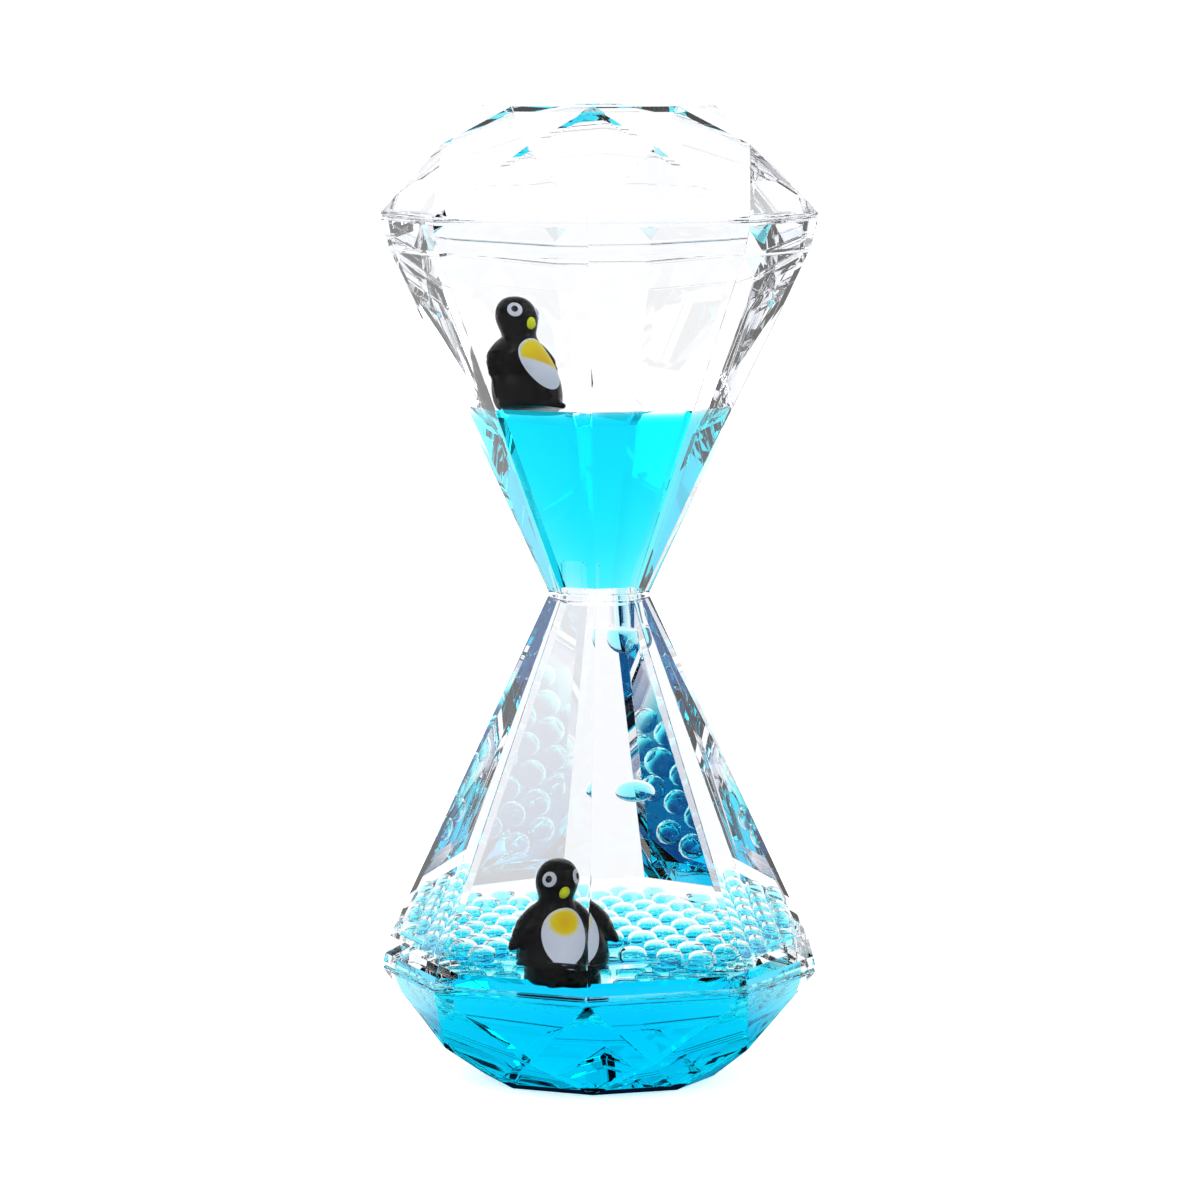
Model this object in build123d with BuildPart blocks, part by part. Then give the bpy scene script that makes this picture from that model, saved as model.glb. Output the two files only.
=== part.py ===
from build123d import *
from math import atan2, cos, degrees, hypot, radians, sin
import os

# Liquid-motion hourglass: two faceted funnels tip to tip, a cut-gem cap on each wide end,
# blue water dripping through clear oil, and a penguin float in each chamber.
# Millimetres, +Z up, origin at the middle of the lower table, one octagon corner towards -Y.

# ---- case ----
SIDES = 8
case_height = 150.0
crown_height = 17.0            # cap, from the widest edge to the flat table
girdle_radius = 33.5           # octagon corner radius at the widest edge
table_radius = 17.7            # octagon corner radius of the flat table
mid_ring_radius = 25.1         # where the crown's three kinds of facet meet
neck_radius = 7.9              # octagon corner radius at the waist
rim_height = 4.0               # steeper rim of a chamber at its wide end
rim_step = 1.05                # how much the rim widens over its height
girdle_band = 0.45             # upright band above and below the glue line
wall = 1.8

# ---- glued joint of cap and chamber ----
glue_thickness = 0.3
glue_inset = 0.2
socket_depth = 5.0
skirt_length = 4.8
skirt_wall = 1.4
skirt_clearance = 0.12

# ---- neck plate and tubes ----
plate_thickness = 1.0
spigot_height = 1.2
spigot_clearance = 0.12
tube_offset = 2.85
tube_radius = 2.1
tube_bore = 1.25
tube_seat_radius = 1.75        # turned-down end that sits in the plate
tube_length = 4.5
tube_taper = 0.45

# ---- filling plug in the upper table ----
plug_radius = 3.0
plug_head_radius = 4.2
plug_head_height = 0.8
plug_length = 2.6
plug_clearance = 0.05
plug_sink = 0.1                # plug head below the table face
plug_edge = 0.2
plug_boss_height = 1.2
plug_boss_wall = 1.3
plug_slot_length = 4.4
plug_slot_width = 0.9
plug_slot_depth = 0.35
seal_thickness = 0.4

# ---- liquids ----
liquid_gap = 0.05              # keeps a liquid's solid off the wall that holds it
upper_fill = 0.5086            # upper water level, as a share of the funnel's height
lower_rise = 1.9               # lower water level above the glue line
bed_thickness = 3.9
hanging_drop_radius = 2.75
hanging_drop_length = 4.0
falling_drop_radius = 3.2
falling_drop_height = 3.6
falling_drop_edge = 1.25       # rounding of the flattened drop's rim
falling_drop_z = 42.7
falling_drop_x = 3.7

# ---- penguin float ----
figure_height = 18.6
head_radius = 3.45
jaw_radius = 2.75
jaw_height = 12.5
shoulder_radius = 3.75
shoulder_height = 10.3
belly_radius = 5.9
belly_height = 3.5
base_radius = 5.4
wing_length = 4.4
wing_width = 2.6
wing_thickness = 1.5
wing_reach = 5.2
wing_height = 8.8
wing_angle = 32
foot_length = 2.0
foot_width = 1.35
foot_height = 1.1
foot_reach = 4.7
foot_spread = 22
tail_reach = 4.6
tail_height = 2.0
tail_angle = 65                # from upright, tip back and up
tail_half_length = 2.2
tail_half_width = 0.9
panel_half_width = 3.75
panel_half_height = 4.3
panel_height = 7.2
panel_depth = 1.9              # how near the figure's axis the belly panel reaches
spot_half_width = 2.4
spot_half_height = 1.85
spot_height = 9.3
spot_depth = 2.7
eye_radius = 1.22
eye_turn = 47
eye_lift = 16
eye_proud = 0.12
eye_depth = 1.0
pupil_radius = 0.52
pupil_depth = 0.5
pupil_proud = 0.06
beak_half_height = 1.05
beak_half_width = 0.85
beak_drop = 22
beak_sink = 0.15
ballast_radius = 1.5
ballast_height = 2.6
ballast_clearance = 0.2
ballast_edge = 0.3
ballast_floor = 1.2

# ---- where the floats are: foot of the axis, turn of the face, lean back ----
upper_float_x = -9.0
upper_float_y = -7.0
upper_float_lift = 0.65        # foot above the upper water
upper_float_turn = 40
upper_float_lean = 5
lower_float_x = -4.6
lower_float_y = -18.6
lower_float_sink = 1.5         # foot below the lower water
lower_float_turn = 20
lower_float_lean = 0
float_pocket = 0.3             # free space left in the water and drops around a float

neck_z = case_height / 2
upper_girdle_z = case_height - crown_height
upper_level = neck_z + upper_fill * (upper_girdle_z - neck_z)
lower_level = crown_height + lower_rise
half_angle = 180 / SIDES
corner_to_flat = cos(radians(half_angle))      # octagon flat distance for a corner radius of 1
flat_to_corner = 1 / corner_to_flat


# ---- chambers ----
chamber_foot_z = neck_z + plate_thickness / 2
chamber_top_z = upper_girdle_z - glue_thickness / 2
shoulder_z = chamber_top_z - girdle_band - rim_height
shoulder_radius_outer = girdle_radius - rim_step
corner_slope = (shoulder_radius_outer - neck_radius) / (shoulder_z - chamber_foot_z)
wall_inset = wall * hypot(1, corner_slope * corner_to_flat) * flat_to_corner
socket_floor_z = upper_girdle_z - socket_depth
socket_radius = shoulder_radius_outer - wall_inset


def funnel_radius(z):
    """Inner corner radius of the upper chamber's funnel at a height."""
    return neck_radius - wall_inset + corner_slope * (z - chamber_foot_z)


def octagon_loft(levels):
    """Straight-sided octagonal solid through (height, corner radius) pairs."""
    with BuildPart() as solid:
        for height, radius in levels:
            with BuildSketch(Plane.XY.offset(height)):
                RegularPolygon(radius, SIDES)
        loft(ruled=True)
    return solid.part


with BuildPart() as upper_chamber:
    add(octagon_loft([(chamber_foot_z, neck_radius), (shoulder_z, shoulder_radius_outer)]))
    add(octagon_loft([(shoulder_z, shoulder_radius_outer), (chamber_top_z - girdle_band, girdle_radius)]))
    with BuildSketch(Plane.XY.offset(chamber_top_z - girdle_band)):
        RegularPolygon(girdle_radius, SIDES)
    extrude(amount=girdle_band)
    add(
        octagon_loft([(chamber_foot_z, funnel_radius(chamber_foot_z)), (shoulder_z, funnel_radius(shoulder_z))]),
        mode=Mode.SUBTRACT,
    )
    with BuildSketch(Plane.XY.offset(socket_floor_z)):
        RegularPolygon(socket_radius, SIDES)
    extrude(amount=socket_depth, mode=Mode.SUBTRACT)

# ---- caps ----
cap_foot_z = upper_girdle_z + glue_thickness / 2
facet_foot_z = cap_foot_z + girdle_band
facet_height = case_height - facet_foot_z
skirt_radius = socket_radius - skirt_clearance * flat_to_corner
skirt_bore = skirt_radius - skirt_wall * flat_to_corner
skirt_foot_z = cap_foot_z - skirt_length
mid_height = facet_height * (girdle_radius - mid_ring_radius * corner_to_flat) / (girdle_radius - table_radius)
girdle_flat = girdle_radius * corner_to_flat
table_flat = table_radius * corner_to_flat


def facet_planes(inset):
    """The crown's 24 facet planes, each moved inwards by an inset."""
    profiles = (
        (0, (girdle_radius, 0), (table_radius, facet_height)),
        (half_angle, (girdle_flat, 0), (mid_ring_radius, mid_height)),
        (half_angle, (mid_ring_radius, mid_height), (table_flat, facet_height)),
    )
    planes = []
    for turn, (low_r, low_z), (high_r, high_z) in profiles:
        normal = Vector(high_z - low_z, 0, low_r - high_r).normalized()
        foot = Vector(low_r, 0, facet_foot_z + low_z) - normal * inset
        for k in range(SIDES):
            angle = turn + k * 360 / SIDES
            planes.append(Plane(foot.rotate(Axis.Z, angle), z_dir=normal.rotate(Axis.Z, angle)))
    return planes


def crown(foot_z, radius, inset):
    """Faceted gem solid: an octagonal block cut down by every facet plane."""
    with BuildPart() as gem:
        with BuildSketch(Plane.XY.offset(foot_z)):
            RegularPolygon(radius, SIDES)
        extrude(amount=case_height - inset - foot_z)
        for plane in facet_planes(inset):
            split(bisect_by=plane, keep=Keep.BOTTOM)
    return gem.part


with BuildPart() as plain_cap:
    add(crown(cap_foot_z, girdle_radius, 0))
    with BuildSketch(Plane.XY.offset(skirt_foot_z)):
        RegularPolygon(skirt_radius, SIDES)
    extrude(amount=cap_foot_z - skirt_foot_z)
    add(crown(skirt_foot_z, skirt_bore, wall), mode=Mode.SUBTRACT)

with BuildPart() as upper_cap:
    add(plain_cap.part)
    with BuildSketch(Plane.XY.offset(case_height - wall - plug_boss_height)):
        Circle(plug_head_radius + plug_boss_wall)
    extrude(amount=plug_boss_height)
    with Locations((0, 0, case_height)):
        CounterBoreHole(
            radius=plug_radius + plug_clearance,
            counter_bore_radius=plug_head_radius + plug_clearance,
            counter_bore_depth=plug_head_height + seal_thickness + plug_sink,
            depth=wall + plug_boss_height,
        )

# ---- glue line between a cap's flange and a chamber's rim ----
with BuildPart() as upper_glue:
    with BuildSketch(Plane.XY.offset(chamber_top_z)):
        RegularPolygon(girdle_radius - glue_inset * flat_to_corner, SIDES)
        RegularPolygon(socket_radius, SIDES, mode=Mode.SUBTRACT)
    extrude(amount=glue_thickness)

# ---- filling plug and its seal ----
plug_seat_z = case_height - plug_sink - plug_head_height
with BuildPart() as fill_plug:
    with BuildSketch(Plane.XY.offset(plug_seat_z)):
        Circle(plug_head_radius)
    extrude(amount=plug_head_height)
    chamfer(fill_plug.edges().group_by(Axis.Z)[-1], length=plug_edge)
    with BuildSketch(Plane.XY.offset(plug_seat_z)):
        Circle(plug_radius)
    extrude(amount=plug_head_height - plug_length)
    chamfer(fill_plug.edges().group_by(Axis.Z)[0], length=plug_edge)
    with BuildSketch(Plane.XY.offset(case_height - plug_sink)):
        SlotOverall(plug_slot_length, plug_slot_width)
    extrude(amount=-plug_slot_depth, mode=Mode.SUBTRACT)

with BuildPart() as plug_seal:
    with BuildSketch(Plane.XY.offset(plug_seat_z - seal_thickness)):
        Circle(plug_head_radius)
        Circle(plug_radius, mode=Mode.SUBTRACT)
    extrude(amount=seal_thickness)

# ---- neck plate and its two tubes ----
spigot_radius = funnel_radius(chamber_foot_z) - spigot_clearance * flat_to_corner
spigot_top_z = chamber_foot_z + spigot_height
with BuildPart() as neck_plate:
    with BuildSketch(Plane.XY.offset(neck_z)):
        RegularPolygon(neck_radius, SIDES)
    extrude(amount=plate_thickness / 2, both=True)
    with BuildSketch(Plane.XY.offset(neck_z)):
        RegularPolygon(spigot_radius, SIDES)
    extrude(amount=plate_thickness / 2 + spigot_height, both=True)
    with Locations((tube_offset, 0, neck_z), (-tube_offset, 0, neck_z)):
        Hole(tube_seat_radius)

with BuildPart() as rise_tube:
    with BuildSketch(Plane.XY.offset(2 * neck_z - spigot_top_z)):
        with Locations((-tube_offset, 0)):
            Circle(tube_seat_radius)
    extrude(amount=2 * (spigot_top_z - neck_z))
    with BuildSketch(Plane.XY.offset(spigot_top_z)):
        with Locations((-tube_offset, 0)):
            Circle(tube_radius)
    extrude(amount=tube_length)
    chamfer(rise_tube.edges().group_by(Axis.Z)[-1], length=tube_taper)
    with Locations((-tube_offset, 0, neck_z)):
        Hole(tube_bore)

# ---- liquids ----
tube_tip_z = spigot_top_z + tube_length
with BuildPart() as upper_water:
    water_foot_z = spigot_top_z + liquid_gap
    add(
        octagon_loft([
            (water_foot_z, funnel_radius(water_foot_z) - liquid_gap * 2),
            (upper_level, funnel_radius(upper_level) - liquid_gap * 2),
        ])
    )
    with BuildSketch(Plane.XY.offset(water_foot_z)):
        with Locations((-tube_offset, 0)):
            Circle(tube_radius + liquid_gap)
    extrude(amount=tube_length + liquid_gap, mode=Mode.SUBTRACT)

lower_foot = (lower_float_x, lower_float_y, lower_level - lower_float_sink)
wing_tip = wing_reach + wing_length * sin(radians(wing_angle)) + wing_thickness / 2
pocket_radius = max(foot_reach + foot_length, wing_tip) + float_pocket
with BuildPart() as lower_water:
    add(mirror(crown(skirt_foot_z, skirt_bore - liquid_gap * flat_to_corner, wall + liquid_gap),
               about=Plane.XY.offset(neck_z)))
    split(bisect_by=Plane.XY.offset(lower_level), keep=Keep.BOTTOM)
    with BuildSketch(Plane.XY.offset(lower_foot[2] - float_pocket)):
        with Locations(lower_foot[:2]):
            Circle(pocket_radius)
    extrude(amount=lower_float_sink + float_pocket, mode=Mode.SUBTRACT)

with BuildPart() as drop_bed:
    with BuildSketch(Plane.XY.offset(lower_level + liquid_gap)):
        RegularPolygon(skirt_bore - liquid_gap * flat_to_corner, SIDES)
        with Locations(lower_foot[:2]):
            Circle(pocket_radius, mode=Mode.SUBTRACT)
    extrude(amount=bed_thickness)


def egg(half_length, half_width):
    """Ellipsoid of revolution about Z, centred on the origin."""
    with BuildPart() as solid:
        with BuildSketch(Plane.XZ):
            with BuildLine():
                EllipticalCenterArc((0, 0), half_width, half_length, start_angle=-90, arc_size=180)
                Line((0, half_length), (0, -half_length))
            make_face()
        revolve(axis=Axis.Z)
    return solid.part


drip_tip_z = 2 * neck_z - tube_tip_z
drop_centre_z = drip_tip_z - hanging_drop_length + hanging_drop_radius
with BuildPart() as hanging_drop:
    with BuildSketch(Plane.XZ):
        with BuildLine():
            round_end = CenterArc((0, drop_centre_z), hanging_drop_radius, -90, 90)
            TangentArc(round_end @ 1, (tube_radius - tube_taper, drip_tip_z), tangent=round_end % 1)
            Polyline((tube_radius - tube_taper, drip_tip_z), (0, drip_tip_z), round_end @ 0)
        make_face()
    revolve(axis=Axis.Z)

# a flattened drop: an oval of tangent arcs, the rim's centre out at rim_reach
rim_reach = falling_drop_radius - falling_drop_edge
rim_rise = falling_drop_height / 2 - falling_drop_edge
flat_arc_centre = (rim_reach**2 - rim_rise**2) / (2 * rim_rise)
flat_arc_radius = falling_drop_height / 2 + flat_arc_centre
rim_angle = degrees(atan2(flat_arc_centre, rim_reach))
with BuildPart() as falling_drop:
    with BuildSketch(Plane.XZ):
        with BuildLine():
            drop_under = CenterArc((0, flat_arc_centre), flat_arc_radius, -90, 90 - rim_angle)
            CenterArc((rim_reach, 0), falling_drop_edge, -rim_angle, 2 * rim_angle)
            drop_over = CenterArc((0, -flat_arc_centre), flat_arc_radius, rim_angle, 90 - rim_angle)
            Line(drop_over @ 1, drop_under @ 0)
        make_face()
    revolve(axis=Axis.Z)

# ---- penguin float, upright at the origin and facing -Y ----
head_z = figure_height - head_radius
head_centre = Vector(0, 0, head_z)


def head_direction(turn, lift):
    """Unit vector from the head's centre, turned from -Y towards +X and lifted."""
    return Vector(0, -1, 0).rotate(Axis.X, -lift).rotate(Axis.Z, turn)


with BuildPart() as wing:
    with BuildSketch(Plane.YZ):
        Ellipse(wing_width, wing_length)
    extrude(amount=wing_thickness / 2, both=True)
    fillet(wing.edges(), radius=wing_thickness * 0.4)

with BuildPart() as foot:
    with BuildSketch(Plane.XY):
        with Locations((0, -foot_reach)):
            Ellipse(foot_width, foot_length)
    extrude(amount=foot_height)
    fillet(foot.edges().group_by(Axis.Z)[-1], radius=foot_height * 0.5)

with BuildPart() as figure:
    with BuildSketch(Plane.XZ):
        with BuildLine():
            head_top = CenterArc((0, head_z), head_radius, 90, -90)
            jaw = TangentArc(head_top @ 1, (jaw_radius, jaw_height), tangent=head_top % 1)
            nape = TangentArc(jaw @ 1, (shoulder_radius, shoulder_height), tangent=jaw % 1)
            back = TangentArc(nape @ 1, (belly_radius, belly_height), tangent=nape % 1)
            hip = TangentArc(back @ 1, (base_radius, 0), tangent=back % 1)
            Polyline(hip @ 1, (0, 0), head_top @ 0)
        make_face()
    revolve(axis=Axis.Z)
    for side in (1, -1):
        add(Location((side * wing_reach, 0, wing_height), (0, -side * wing_angle, 0)) * wing.part)
        add(Location((0, 0, 0), (0, 0, side * foot_spread)) * foot.part)
    add(Location((0, tail_reach, tail_height), (tail_angle, 0, 0)) * egg(tail_half_length, tail_half_width))
    split(bisect_by=Plane.XY, keep=Keep.TOP)

with BuildPart() as panel_block:
    with BuildSketch(Plane.XZ.offset(panel_depth)):
        with Locations((0, panel_height)):
            Ellipse(panel_half_width, panel_half_height)
    extrude(amount=2 * belly_radius)

with BuildPart() as spot_block:
    with BuildSketch(Plane.XZ.offset(spot_depth)):
        with Locations((0, spot_height)):
            Ellipse(spot_half_width, spot_half_height)
    extrude(amount=2 * belly_radius)

eye_directions = [head_direction(turn, eye_lift) for turn in (eye_turn, -eye_turn)]
with BuildPart() as eye_block:
    for direction in eye_directions:
        with BuildSketch(Plane(head_centre + direction * (head_radius - eye_depth), z_dir=direction)):
            Circle(eye_radius)
        extrude(amount=2 * eye_depth)

with BuildPart() as pupil_block:
    for direction in eye_directions:
        with BuildSketch(Plane(head_centre + direction * (head_radius - pupil_depth), z_dir=direction)):
            Circle(pupil_radius)
        extrude(amount=2 * pupil_depth)

with BuildPart() as penguin_eyes:
    with Locations(head_centre):
        Sphere(head_radius + eye_proud)
    add(eye_block.part, mode=Mode.INTERSECT)
    add(pupil_block.part, mode=Mode.SUBTRACT)

with BuildPart() as penguin_pupils:
    with Locations(head_centre):
        Sphere(head_radius + eye_proud + pupil_proud)
    add(pupil_block.part, mode=Mode.INTERSECT)

beak_centre = head_centre + head_direction(0, -beak_drop) * (head_radius - beak_sink)
with BuildPart() as penguin_beak:
    add(Location(beak_centre, (-beak_drop, 0, 0)) * egg(beak_half_height, beak_half_width))

with BuildPart() as penguin_belly:
    add(figure.part)
    add(panel_block.part, mode=Mode.INTERSECT)
    add(spot_block.part, mode=Mode.SUBTRACT)

with BuildPart() as penguin_spot:
    add(figure.part)
    add(spot_block.part, mode=Mode.INTERSECT)

with BuildPart() as penguin_ballast:
    with BuildSketch(Plane.XY.offset(ballast_floor + ballast_clearance)):
        Circle(ballast_radius)
    extrude(amount=ballast_height)
    chamfer(penguin_ballast.edges(), length=ballast_edge)

with BuildPart() as penguin_body:
    add(figure.part)
    for inlay in (panel_block, eye_block, penguin_beak):
        add(inlay.part, mode=Mode.SUBTRACT)
    with BuildSketch(Plane.XY.offset(ballast_floor)):
        Circle(ballast_radius + ballast_clearance)
    extrude(amount=ballast_height + 2 * ballast_clearance, mode=Mode.SUBTRACT)

# ---- every piece in its place, one file each ----
neck_plane = Plane.XY.offset(neck_z)
case_pieces = {
    "upper_chamber": upper_chamber.part,
    "lower_chamber": mirror(upper_chamber.part, about=neck_plane),
    "upper_cap": upper_cap.part,
    "lower_cap": mirror(plain_cap.part, about=neck_plane),
    "upper_glue_line": upper_glue.part,
    "lower_glue_line": mirror(upper_glue.part, about=neck_plane),
    "fill_plug": fill_plug.part,
    "plug_seal": plug_seal.part,
    "neck_plate": neck_plate.part,
    "rise_tube": rise_tube.part,
    "drip_tube": Rotation(0, 0, 180) * mirror(rise_tube.part, about=neck_plane),
    "upper_water": upper_water.part,
    "lower_water": lower_water.part,
    "drop_bed": drop_bed.part,
    "hanging_drop": Location((tube_offset, 0, 0)) * hanging_drop.part,
    "falling_drop": Location((falling_drop_x, 0, falling_drop_z)) * falling_drop.part,
}
penguin_pieces = {
    "body": penguin_body.part,
    "belly": penguin_belly.part,
    "spot": penguin_spot.part,
    "eyes": penguin_eyes.part,
    "pupils": penguin_pupils.part,
    "beak": penguin_beak.part,
    "ballast": penguin_ballast.part,
}
upper_foot = (upper_float_x, upper_float_y, upper_level + upper_float_lift)
float_places = {
    "upper": Location(upper_foot) * Rotation(0, 0, upper_float_turn) * Rotation(-upper_float_lean, 0, 0),
    "lower": Location(lower_foot) * Rotation(0, 0, lower_float_turn) * Rotation(-lower_float_lean, 0, 0),
}

pieces = dict(case_pieces)
for chamber, place in float_places.items():
    for name, piece in penguin_pieces.items():
        pieces[f"{chamber}_penguin_{name}"] = place * piece

os.makedirs("parts", exist_ok=True)
for name, piece in pieces.items():
    piece.label = name
    export_step(piece, f"parts/{name}.step")
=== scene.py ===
"""A liquid-motion hourglass: clear faceted case, blue water in clear oil, two penguin floats."""

import logging
import math
import random
from collections.abc import Callable, Iterator
from contextlib import contextmanager
from dataclasses import dataclass
from enum import Enum

import bmesh
import bpy
from mathutils import Euler, Matrix, Vector


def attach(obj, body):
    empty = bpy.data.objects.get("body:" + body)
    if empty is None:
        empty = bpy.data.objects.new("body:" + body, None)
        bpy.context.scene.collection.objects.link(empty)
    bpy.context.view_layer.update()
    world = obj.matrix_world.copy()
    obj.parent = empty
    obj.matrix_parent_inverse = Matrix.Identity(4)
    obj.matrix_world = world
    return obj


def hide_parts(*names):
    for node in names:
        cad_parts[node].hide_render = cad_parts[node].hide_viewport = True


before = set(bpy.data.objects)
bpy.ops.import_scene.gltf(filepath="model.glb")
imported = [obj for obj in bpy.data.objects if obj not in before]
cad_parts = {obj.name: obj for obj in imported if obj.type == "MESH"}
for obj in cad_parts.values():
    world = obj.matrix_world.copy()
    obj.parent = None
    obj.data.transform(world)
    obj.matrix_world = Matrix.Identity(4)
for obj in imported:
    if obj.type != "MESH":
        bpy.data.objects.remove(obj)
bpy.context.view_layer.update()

LOG = logging.getLogger("hourglass")
MM = 0.001
SIDES = 8
FLAT = math.cos(math.pi / SIDES)          # flat distance of an octagon whose corner radius is 1
CLEAR = 0.03                              # mm between two pieces that touch
UP = Vector((0, 0, 1))
Profile = list[tuple[float, float]]       # (radius, height) pairs, mm
Value = float | Vector | Euler | tuple[float, ...] | bpy.types.NodeSocket


class Contact(Enum):
    """What lies on the far side of a clear surface, as the index step across it."""

    AIR = 1.452
    OIL = 1.0335
    WATER = 1.089

    @property
    def slot(self) -> int:
        """Place of the contact among a clear piece's material slots."""
        return list(Contact).index(self)


# ---------------------------------------------------------------- finishes


def new_material(name: str) -> tuple[bpy.types.Material, bpy.types.NodeTree, bpy.types.Node]:
    """Make an empty node material.

    Args:
        name: the material's name.

    Returns:
        The material, its node tree and its output node.
    """
    material = bpy.data.materials.new(name)
    material.use_nodes = True
    material.node_tree.nodes.clear()
    return material, material.node_tree, node(material.node_tree, "OutputMaterial", {})


def node(
    tree: bpy.types.NodeTree, kind: str, inputs: dict[int | str, Value], **settings: str | bool
) -> bpy.types.Node:
    """Add a shader node.

    Args:
        tree: the node tree to add to.
        kind: the node's type.
        inputs: a value, or the socket that feeds it, for each named input.
        settings: the node's own settings.

    Returns:
        The node.
    """
    added = tree.nodes.new(f"ShaderNode{kind}")
    for name, setting in settings.items():
        setattr(added, name, setting)
    for name, value in inputs.items():
        if isinstance(value, bpy.types.NodeSocket):
            tree.links.new(value, added.inputs[name])
        else:
            added.inputs[name].default_value = value
    return added


def height_coordinate(tree: bpy.types.NodeTree) -> bpy.types.NodeSocket:
    """Return a socket with the height above the table, in metres."""
    place = node(tree, "TexCoord", {})
    return node(tree, "SeparateXYZ", {0: place.outputs["Object"]}).outputs["Z"]


def noise_bump(
    tree: bpy.types.NodeTree, shader: bpy.types.Node, scale: float, strength: float, depth: float
) -> bpy.types.NodeSocket:
    """Give a shader a fine uneven surface.

    Args:
        tree: the material's node tree.
        shader: the shader whose normal is bumped.
        scale: noise cells per metre.
        strength: how much of the bump is kept, 0 to 1.
        depth: height of the bumps in metres.

    Returns:
        The noise value, for use elsewhere in the material.
    """
    place = node(tree, "TexCoord", {})
    noise = node(tree, "TexNoise", {"Vector": place.outputs["Object"], "Scale": scale, "Detail": 3})
    bump = node(tree, "Bump", {
        "Strength": strength, "Distance": depth, "Height": noise.outputs["Fac"]})
    tree.links.new(bump.outputs["Normal"], shader.inputs["Normal"])
    return noise.outputs["Fac"]


@dataclass(frozen=True)
class ClearPlastic:
    """Polished clear plastic, one slot for each thing it touches."""

    name: str = "clear_plastic"
    tint: tuple[float, float, float] = (0.985, 0.988, 0.996)
    roughness: float = 0.0
    ripple: float = 0.015
    waves: float = 55                         # per metre
    wave_depth: float = 0.0004                # metres

    def slots(self) -> list[bpy.types.Material]:
        """Return the materials in the order of Contact."""
        return [self.material(contact) for contact in Contact]

    def material(self, contact: Contact) -> bpy.types.Material:
        """Build one polished surface.

        Args:
            contact: what lies beyond the surface.

        Returns:
            The material.
        """
        name = f"{self.name}_{contact.name.lower()}"
        if name in bpy.data.materials:
            return bpy.data.materials[name]
        material, tree, output = new_material(name)
        glass = node(tree, "BsdfPrincipled", {
            "Base Color": (*self.tint, 1), "Transmission Weight": 1,
            "Roughness": self.roughness, "IOR": contact.value})
        noise_bump(tree, glass, self.waves, self.ripple, self.wave_depth)
        tree.links.new(glass.outputs[0], output.inputs["Surface"])
        return material


@dataclass(frozen=True)
class DyedWater:
    """Blue-dyed water: absorbs red along its depth and bends light where it meets oil."""

    name: str
    surface: float = 0.0                      # mm, the height where it meets oil
    colour: tuple[float, float, float] = (0.0, 0.957, 0.9995)
    density: float = 220.0
    oil_index: float = 0.945
    still_index: float = 1.0
    surface_reach: float = 0.02               # mm

    def material(self) -> bpy.types.Material:
        """Build the water, with the index step only where it meets oil."""
        material, tree, output = new_material(self.name)
        meets_oil = node(tree, "Math", {
            0: height_coordinate(tree), 1: self.surface * MM, 2: self.surface_reach * MM},
            operation="COMPARE")
        index = node(tree, "MapRange", {
            "Value": meets_oil.outputs[0], "To Min": self.still_index, "To Max": self.oil_index})
        glass = node(tree, "BsdfGlass", {
            "Color": (1, 1, 1, 1), "Roughness": 0, "IOR": index.outputs["Result"]})
        self.add_dye(tree, output)
        tree.links.new(glass.outputs[0], output.inputs["Surface"])
        return material

    def add_dye(self, tree: bpy.types.NodeTree, output: bpy.types.Node) -> None:
        """Absorb light along its way through the water.

        Args:
            tree: the material's node tree.
            output: the material's output node.
        """
        dye = node(tree, "VolumeAbsorption", {"Color": (*self.colour, 1), "Density": self.density})
        tree.links.new(dye.outputs[0], output.inputs["Volume"])


@dataclass(frozen=True)
class WaterDrop(DyedWater):
    """A drop of dyed water with oil all round it."""

    def material(self) -> bpy.types.Material:
        """Build the drop's water."""
        material, tree, output = new_material(self.name)
        glass = node(tree, "BsdfGlass", {"Roughness": 0, "IOR": self.oil_index})
        noise_bump(tree, glass, 160, 0.05, 0.0003)
        self.add_dye(tree, output)
        tree.links.new(glass.outputs[0], output.inputs["Surface"])
        return material


@dataclass(frozen=True)
class MouldedPaint:
    """Opaque moulded or painted plastic with a fine uneven gloss."""

    name: str
    colour: tuple[float, float, float]
    second: tuple[float, float, float]
    roughness: float = 0.25
    index: float = 1.4
    metal: float = 0.0
    grain: float = 900.0

    def material(self) -> bpy.types.Material:
        """Build the paint."""
        if self.name in bpy.data.materials:
            return bpy.data.materials[self.name]
        material, tree, output = new_material(self.name)
        paint = node(tree, "BsdfPrincipled", {"IOR": self.index, "Metallic": self.metal})
        grain = noise_bump(tree, paint, self.grain, 0.12, 0.00008)
        mix = node(tree, "Mix", {"A": (*self.colour, 1), "B": (*self.second, 1), "Factor": grain},
                   data_type="RGBA")
        rough = node(tree, "MapRange", {
            "To Min": self.roughness * 0.8, "To Max": self.roughness * 1.25, "Value": grain})
        tree.links.new(mix.outputs["Result"], paint.inputs["Base Color"])
        tree.links.new(rough.outputs["Result"], paint.inputs["Roughness"])
        tree.links.new(paint.outputs[0], output.inputs["Surface"])
        return material


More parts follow.
